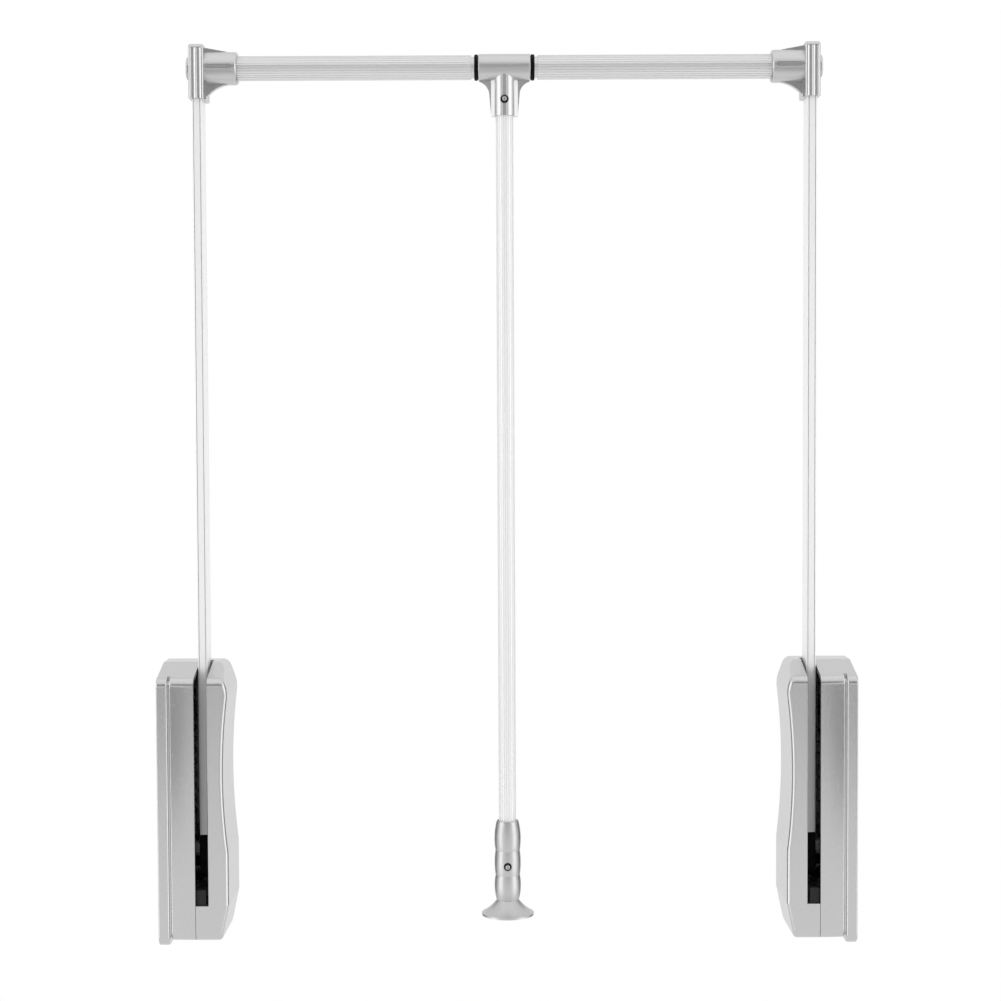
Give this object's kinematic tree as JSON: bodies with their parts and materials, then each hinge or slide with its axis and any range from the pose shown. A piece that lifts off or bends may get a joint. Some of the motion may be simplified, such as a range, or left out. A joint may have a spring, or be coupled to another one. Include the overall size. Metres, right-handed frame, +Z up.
{
  "type": "pull down closet rod",
  "caption": "Pull down closet rod: wall units with sprung swing arms carry a telescoping hanging rail and a pull rod with a grip",
  "frame": {"origin": "midway between the two wall plates, at the height of their lower ends and at mid depth", "axes": "X along the rail, left to right seen from the room; Y from the room into the closet; Z up"},
  "size_m": [0.66, 0.078, 0.85],
  "materials": {
    "casing_abs": "moulded ABS with a fine satin silver-grey texture",
    "joint_abs": "moulded ABS, satin silver-grey",
    "arm_aluminium": "extruded aluminium, bright anodised",
    "rail_aluminium": "extruded aluminium, satin anodised, finely fluted",
    "black_nylon": "moulded black nylon",
    "zinc_steel": "bright zinc plated steel",
    "black_rubber": "moulded black rubber"
  },
  "bodies": {
    "left_unit": {"left_wall_plate": "casing_abs", "left_outer_casing": "casing_abs", "left_inner_casing": "casing_abs", "left_pivot_axle": "zinc_steel", "left_spring_seat": "black_nylon", "left_lift_spring": "zinc_steel", "left_damper_cylinder": "zinc_steel", "left_rest_bumper": "black_rubber", "left_end_bumper": "black_rubber", "left_case_screws": "zinc_steel"},
    "left_swing_arm": {"left_arm": "arm_aluminium", "left_arm_hub": "black_nylon", "left_pivot_bushes": "black_nylon", "left_crank_pin": "zinc_steel", "left_arm_rivets": "zinc_steel", "left_corner_joint": "joint_abs", "left_corner_cap": "joint_abs", "left_corner_screw": "zinc_steel", "left_rail_tube": "rail_aluminium"},
    "left_carriage": {"left_spring_carriage": "black_nylon", "left_spring_guide": "zinc_steel", "left_damper_rod": "zinc_steel"},
    "right_unit": {"right_wall_plate": "casing_abs", "right_outer_casing": "casing_abs", "right_inner_casing": "casing_abs", "right_pivot_axle": "zinc_steel", "right_spring_seat": "black_nylon", "right_lift_spring": "zinc_steel", "right_damper_cylinder": "zinc_steel", "right_rest_bumper": "black_rubber", "right_end_bumper": "black_rubber", "right_case_screws": "zinc_steel"},
    "right_swing_arm": {"right_arm": "arm_aluminium", "right_arm_hub": "black_nylon", "right_pivot_bushes": "black_nylon", "right_crank_pin": "zinc_steel", "right_arm_rivets": "zinc_steel", "right_corner_joint": "joint_abs", "right_corner_cap": "joint_abs", "right_corner_screw": "zinc_steel", "right_rail_tube": "rail_aluminium"},
    "right_carriage": {"right_spring_carriage": "black_nylon", "right_spring_guide": "zinc_steel", "right_damper_rod": "zinc_steel"},
    "rail_core": {"inner_tube": "rail_aluminium", "left_collar_ring": "black_nylon", "right_collar_ring": "black_nylon"},
    "puller": {"tee": "joint_abs", "tee_screw": "zinc_steel", "pull_rod": "arm_aluminium", "grip": "joint_abs", "grip_screw": "zinc_steel"}
  },
  "joints": [
    {"name": "width_adjust", "type": "slide", "parent": "left_unit", "child": "right_unit", "axis": [1, 0, 0], "range_m": [0, 0.229]},
    {"name": "left_arm_swing", "type": "hinge", "parent": "left_unit", "child": "left_swing_arm", "pos_m": [-0.2897, 0, 0.085], "axis": [1, 0, 0], "range_deg": [0, 115], "stiffness_Nm_per_rad": 5, "springref_deg": -34.38},
    {"name": "right_arm_swing", "type": "hinge", "parent": "right_unit", "child": "right_swing_arm", "pos_m": [0.2897, 0, 0.085], "axis": [1, 0, 0], "range_deg": [0, 115], "stiffness_Nm_per_rad": 5, "springref_deg": -34.38},
    {"name": "rail_core_slide", "type": "slide", "parent": "left_swing_arm", "child": "rail_core", "axis": [1, 0, 0], "range_m": [0, 0.1145]},
    {"name": "pull_rod_swing", "type": "hinge", "parent": "rail_core", "child": "puller", "pos_m": [0, 0, 0.829], "axis": [1, 0, 0], "continuous": true},
    {"name": "left_carriage_slide", "type": "slide", "parent": "left_unit", "child": "left_carriage", "axis": [0, 0, 1], "range_m": [0, 0.0461], "deforming": ["left_lift_spring"]},
    {"name": "right_carriage_slide", "type": "slide", "parent": "right_unit", "child": "right_carriage", "axis": [0, 0, 1], "range_m": [0, 0.0461], "deforming": ["right_lift_spring"]}
  ],
  "couplings": [
    {"joint": "right_arm_swing", "follows": "left_arm_swing", "ratio": 1},
    {"joint": "rail_core_slide", "follows": "width_adjust", "ratio": 0.5},
    {"joint": "left_carriage_slide", "follows": "left_arm_swing", "m_per_rad": 0.02288},
    {"joint": "right_carriage_slide", "follows": "left_arm_swing", "m_per_rad": 0.02288}
  ]
}
